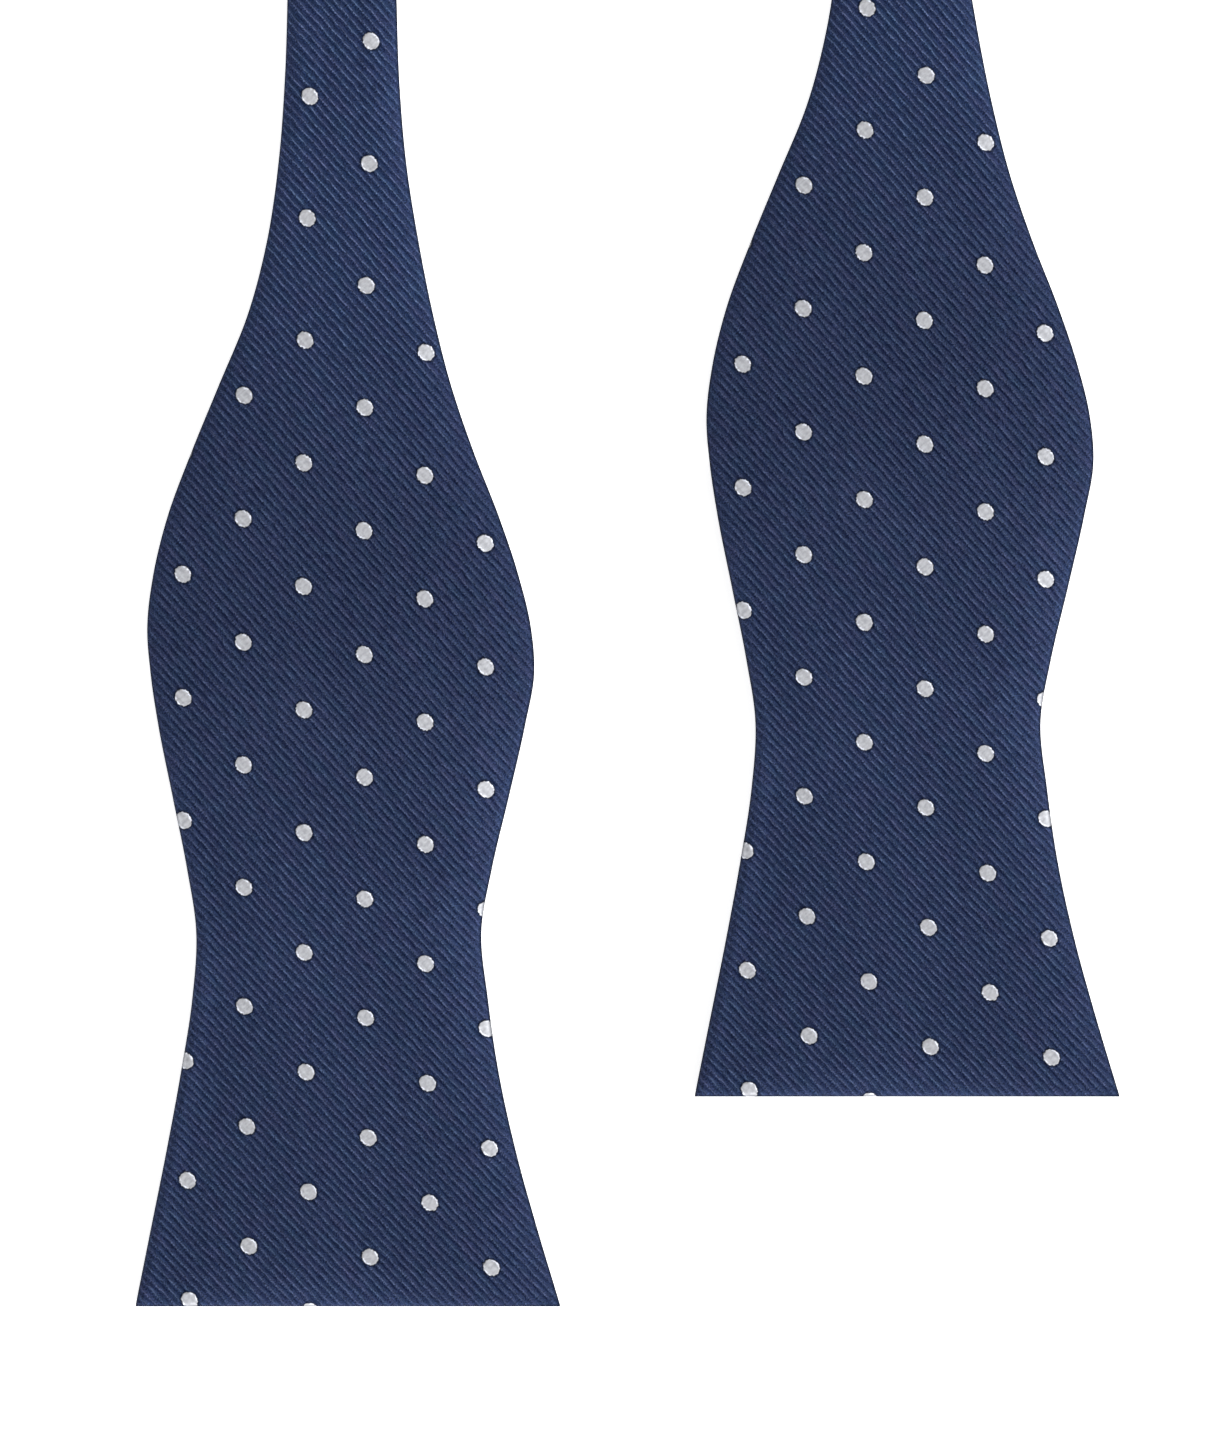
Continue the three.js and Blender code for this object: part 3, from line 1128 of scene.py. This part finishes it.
    def drawn(self, v: np.ndarray) -> np.ndarray:
        """Finds how tightly the cloth is drawn, which gives crisper ribs with a brighter painted highlight
        on their crests.

        Args:
            v: distance from the straight end.

        Returns:
            From 0 where it lies slack to 1 in the neck.
        """
        below = self.waist_share * (1 - smooth(v, *self.drawn_waist))
        return smooth(v, *self.drawn_neck) + below

    def rib_relief(self, across: np.ndarray) -> np.ndarray:
        """Shapes the ribs, each steeper on its lower left flank than on its upper right.

        Args:
            across: distance across the ribs from the first dot.

        Returns:
            The ribs' height at each point.
        """
        weave = self.silk.weave
        phase = (across / weave.rib_mm - weave.groove_at) % 1.0
        crest = self.rib_crest
        flank = np.where(phase < crest, phase / crest, (1 - phase) / (1 - crest))
        return self.rib_height * np.sin(flank * math.pi / 2)

    def _pulled_in(self, u: np.ndarray, v: np.ndarray) -> np.ndarray:
        """Moves points of the side edges inwards by the seam's depth.

        Args:
            u: distance right of the middle line, in plan.
            v: distance from the straight end.

        Returns:
            The distance right of the middle line that each point gets.
        """
        cut = self.route.cut
        at_side = np.minimum(u + cut.left(v), cut.right(v) - u) < TOUCHING_MM
        return u - np.where(at_side, np.sign(u) * self.seam_depth, 0.0)

    def build(self) -> bpy.types.Object:
        """Builds the piece's closed mesh with its weave coordinates.

        Returns:
            The finished piece, riding on its body.
        """
        face, face_kept = self.surface(Panel.FACE)
        back, back_kept = self.surface(Panel.BACK)
        rows, wide = face.shape[:2]
        inner = back.shape[1] - 2
        number = np.arange(rows * wide).reshape(rows, wide)
        under = rows * wide + np.arange(rows * inner).reshape(rows, inner)
        tip_points, tip_kept = self._tips()
        first_tip = rows * (wide + inner)
        ring = np.concatenate([number, under[:, ::-1]], axis=1)
        faces = self._quads(ring)
        faces += self._fan(ring[0], first_tip, True) + self._fan(ring[-1], first_tip + 1, False)
        points = np.concatenate([face.reshape(-1, 3), back[:, 1:-1].reshape(-1, 3), tip_points])
        kept = np.concatenate([face_kept.reshape(-1, 6), back_kept[:, 1:-1].reshape(-1, 6), tip_kept])
        mesh = bpy.data.meshes.new(self.node)
        mesh.from_pydata(points.tolist(), [], faces)
        mesh.validate()
        mesh.polygons.foreach_set("use_smooth", np.ones(len(mesh.polygons), bool))
        held = mesh.attributes.new(WEAVE_ATTRIBUTE, "FLOAT_VECTOR", "POINT")
        held.data.foreach_set("vector", kept[:, :3].astype(np.float32).ravel())
        tight = mesh.attributes.new(DRAWN_ATTRIBUTE, "FLOAT", "POINT")
        tight.data.foreach_set("value", kept[:, 3].astype(np.float32))
        on_back = (np.arange(len(points)) >= rows * wide) & (np.arange(len(points)) < first_tip)
        self._lay_out(mesh, kept[:, 4:], on_back)
        mesh.update()
        piece = add_object(f"{self.node}_silk", mesh)
        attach(piece, "root")
        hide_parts(self.node)
        self._declare()
        return piece

    def _lay_out(self, mesh: bpy.types.Mesh, flat: np.ndarray, on_back: np.ndarray) -> None:
        """Lays both layers of silk side by side in a map, cut into equal lengths.

        Args:
            mesh: the piece's mesh, which gets the map.
            flat: u and v of each point.
            on_back: whether each point belongs to the back alone.
        """
        corner = np.empty(len(mesh.loops), int)
        mesh.loops.foreach_get("vertex_index", corner)
        count = np.empty(len(mesh.polygons), int)
        mesh.polygons.foreach_get("loop_total", count)
        first = np.cumsum(count) - count
        behind = np.repeat(np.maximum.reduceat(on_back[corner].astype(int), first), count)
        middle = np.repeat(np.add.reduceat(flat[corner, 1], first) / count, count)
        span = (self.high - self.low) / self.folds
        fold = np.clip((middle - self.low) // span, 0, self.folds - 1)
        half = np.abs(flat[:, 0]).max() + self.side_margin
        strip = behind * self.folds + fold
        wide = 2 * half * len(Panel) * self.folds
        tall = span + 2 * self.end_margin
        u = ((2 * strip + 1) * half + flat[corner, 0] * (1 - 2 * behind)) / wide
        v = (flat[corner, 1] - self.low - fold * span + self.end_margin) / tall
        layer = mesh.uv_layers.new(name=BAKE_MAP)
        layer.data.foreach_set("uv", np.stack([u, v], -1).astype(np.float32).ravel())

    def _tips(self) -> tuple[np.ndarray, np.ndarray]:
        """Places the two corners that no row reaches: at the low left and the high right.

        Returns:
            Their points in metres, and what each keeps, as surface gives it.
        """
        v = np.array([self.low, self.high])
        u = np.array([-self.left(v[:1])[0], self.right(v[1:])[0]])
        across, along = self.silk.weave.coordinates(u, v)
        height = np.full(2, self.seam_height)
        placed = self.route.put(self.side, self.plan(u, v), v, height)
        return placed, np.stack([across, along, np.zeros(2), self.drawn(v), u, v], -1)

    @staticmethod
    def _quads(ring: np.ndarray) -> list[list[int]]:
        """Joins each ring of points to the next.

        Args:
            ring: the points' numbers, by ring.

        Returns:
            The faces.
        """
        after = np.roll(ring, -1, axis=1)
        quads = np.stack([ring[:-1], ring[1:], after[1:], after[:-1]], -1)
        return quads.reshape(-1, 4).tolist()

    @staticmethod
    def _fan(ring: np.ndarray, tip: int, turned: bool) -> list[list[int]]:
        """Closes an end ring to one corner point.

        Args:
            ring: the ring's point numbers.
            tip: the corner's point number.
            turned: whether the faces run with the ring, as they do at its low end.

        Returns:
            The faces.
        """
        pairs = zip(ring.tolist(), np.roll(ring, -1).tolist())
        return [[a, b, tip] if turned else [b, a, tip] for a, b in pairs]

    def _declare(self) -> None:
        """Works out the flat cloth's widths along the piece, but passes them on to nothing.
        """
        cut = self.route.cut
        v = np.linspace(self.low, self.high, WIDTH_SAMPLES)
        widths = cut.left(v) + cut.right(v)


@dataclass
class Blade(SilkPiece):
    """A shaped blade: flared straight end, waist, bulb and taper."""

    swells: tuple[Swell, ...] = (
        Swell(2.0, 88.0, 22.0, 30.0, 0.5),
        Swell(-4.0, 39.5, 10.0, 4.5, 0.12),
    )


@dataclass
class Neckband(SilkPiece):
    """Half of the narrow neckband, from its blade to the centre back."""

    columns: int = 5
    back_columns: int = 4
    folds: int = 3
    knots: tuple[float, ...] = (0.0, 0.0, 0.08, 0.25, 0.5, 0.9, 1.5, 2.4, 3.4)


@dataclass
class BowTie:
    """The whole tie: both blades and both halves of the neckband."""

    silk: SilkFaille = field(default_factory=SilkFaille)
    route: Route = field(default_factory=Route)
    straight_end: EdgeRoll = field(default_factory=lambda: EdgeRoll(0.6, 5.0, 0.78))
    sewn_end: EdgeRoll = field(default_factory=lambda: EdgeRoll(0.5, 0.5, 1.0))

    def pieces(self) -> list[SilkPiece]:
        """Lists the tie's sewn pieces.

        Returns:
            Both blades, then both halves of the neckband.
        """
        cut = self.route.cut
        seam = cut.blade_length
        blades = [Blade(f"{side.name.lower()}_blade", side, -cut.end_spread, seam + cut.seam_overlap,
                        self.straight_end, None, self.silk, self.route) for side in Side]
        bands = [Neckband(f"{side.name.lower()}_neckband", side, seam - cut.seam_overlap,
                          self.route.half_length(side) + cut.seam_overlap,
                          None, self.sewn_end, self.silk, self.route) for side in Side]
        return [*blades, *bands]

    def build(self) -> None:
        """Builds and dresses every piece."""
        silk = self.silk.material()
        for part in self.pieces():
            piece = part.build()
            piece.data.materials.append(silk)
            LOG.info("%s: %d faces", piece.name, len(piece.data.polygons))


@dataclass(frozen=True)
class SoftLamp:
    """A distant soft light: its power, and its spread, height and heading in degrees.

    At heading 0 it shines from the side of the blades' straight ends, and it goes round to the
    right as the heading grows.
    """

    name: str
    power: float
    spread: float
    height: float
    heading: float

    def place(self) -> None:
        """Puts the light in the scene."""
        lamp = bpy.data.lights.new(self.name, "SUN")
        lamp.energy = self.power
        lamp.angle = math.radians(self.spread)
        made = add_object(self.name, lamp)
        made.rotation_euler = (math.radians(90 - self.height), 0, math.radians(self.heading))


@dataclass
class Studio:
    """A plain white table, soft light and a camera straight above the blades.

    The picture's scale holds at the height of the cloth's top, and its pixels count from the
    upper left. The lens is long, as for a picture taken from far above.
    """

    route: Route
    table: LightTable = field(default_factory=LightTable)
    picture_size: tuple[int, int] = (1209, 1431)
    middle_line_px: float = 621.0
    left_end_px: float = 1306.0
    mm_per_px: float = 0.1533
    cloth_top_mm: float = 1.9
    lens: float = 200.0
    sensor: float = 36.0
    floor_side_m: float = 80.0
    sky: float = 0.29
    lamps: tuple[SoftLamp, ...] = (
        SoftLamp("key_light", 8.95, 38.0, 20.0, 58.0),
        SoftLamp("edge_light", 4.4, 6.0, 4.5, -72.0),
    )

    def camera(self) -> None:
        """Puts the camera straight above the blades, square to the table."""
        width, height = self.picture_size
        shift = self.route.shift()
        x = (width / 2 - self.middle_line_px) * self.mm_per_px + shift[0]
        y = (self.left_end_px - height / 2) * self.mm_per_px + shift[1]
        tall = height * self.mm_per_px
        above = tall * self.lens / self.sensor
        data = bpy.data.cameras.new("camera")
        data.lens = self.lens
        data.sensor_width = self.sensor
        made = add_object("camera", data)
        made.location = (x * MM, y * MM, (above + self.cloth_top_mm) * MM)
        bpy.context.scene.camera = made

    def floor(self) -> None:
        """Lays the white surface that the tie lies on."""
        half = self.floor_side_m / 2
        mesh = bpy.data.meshes.new("floor")
        mesh.from_pydata([(-half, -half, 0), (half, -half, 0), (half, half, 0), (-half, half, 0)], [],
                         [(0, 1, 2, 3)])
        mesh.materials.append(self.table.material())
        made = add_object("floor", mesh)

    def lights(self) -> None:
        """Lights the tie softly from the lower right, grazes its left edges, and adds a white room."""
        world = bpy.data.worlds.new("room")
        world.use_nodes = True
        backdrop = world.node_tree.nodes["Background"]
        backdrop.inputs["Color"].default_value = (1, 1, 1, 1)
        backdrop.inputs["Strength"].default_value = self.sky
        bpy.context.scene.world = world
        for lamp in self.lamps:
            lamp.place()

    def build(self) -> None:
        """Sets up the whole studio."""
        self.camera()
        self.floor()
        self.lights()
        bpy.context.scene.view_settings.view_transform = "Standard"


def main() -> None:
    """Builds the studio and the tie."""
    logging.basicConfig(level=logging.INFO, format="%(message)s")
    tie = BowTie()
    Studio(route=tie.route).build()
    tie.build()


if __name__ == "__main__":
    main()
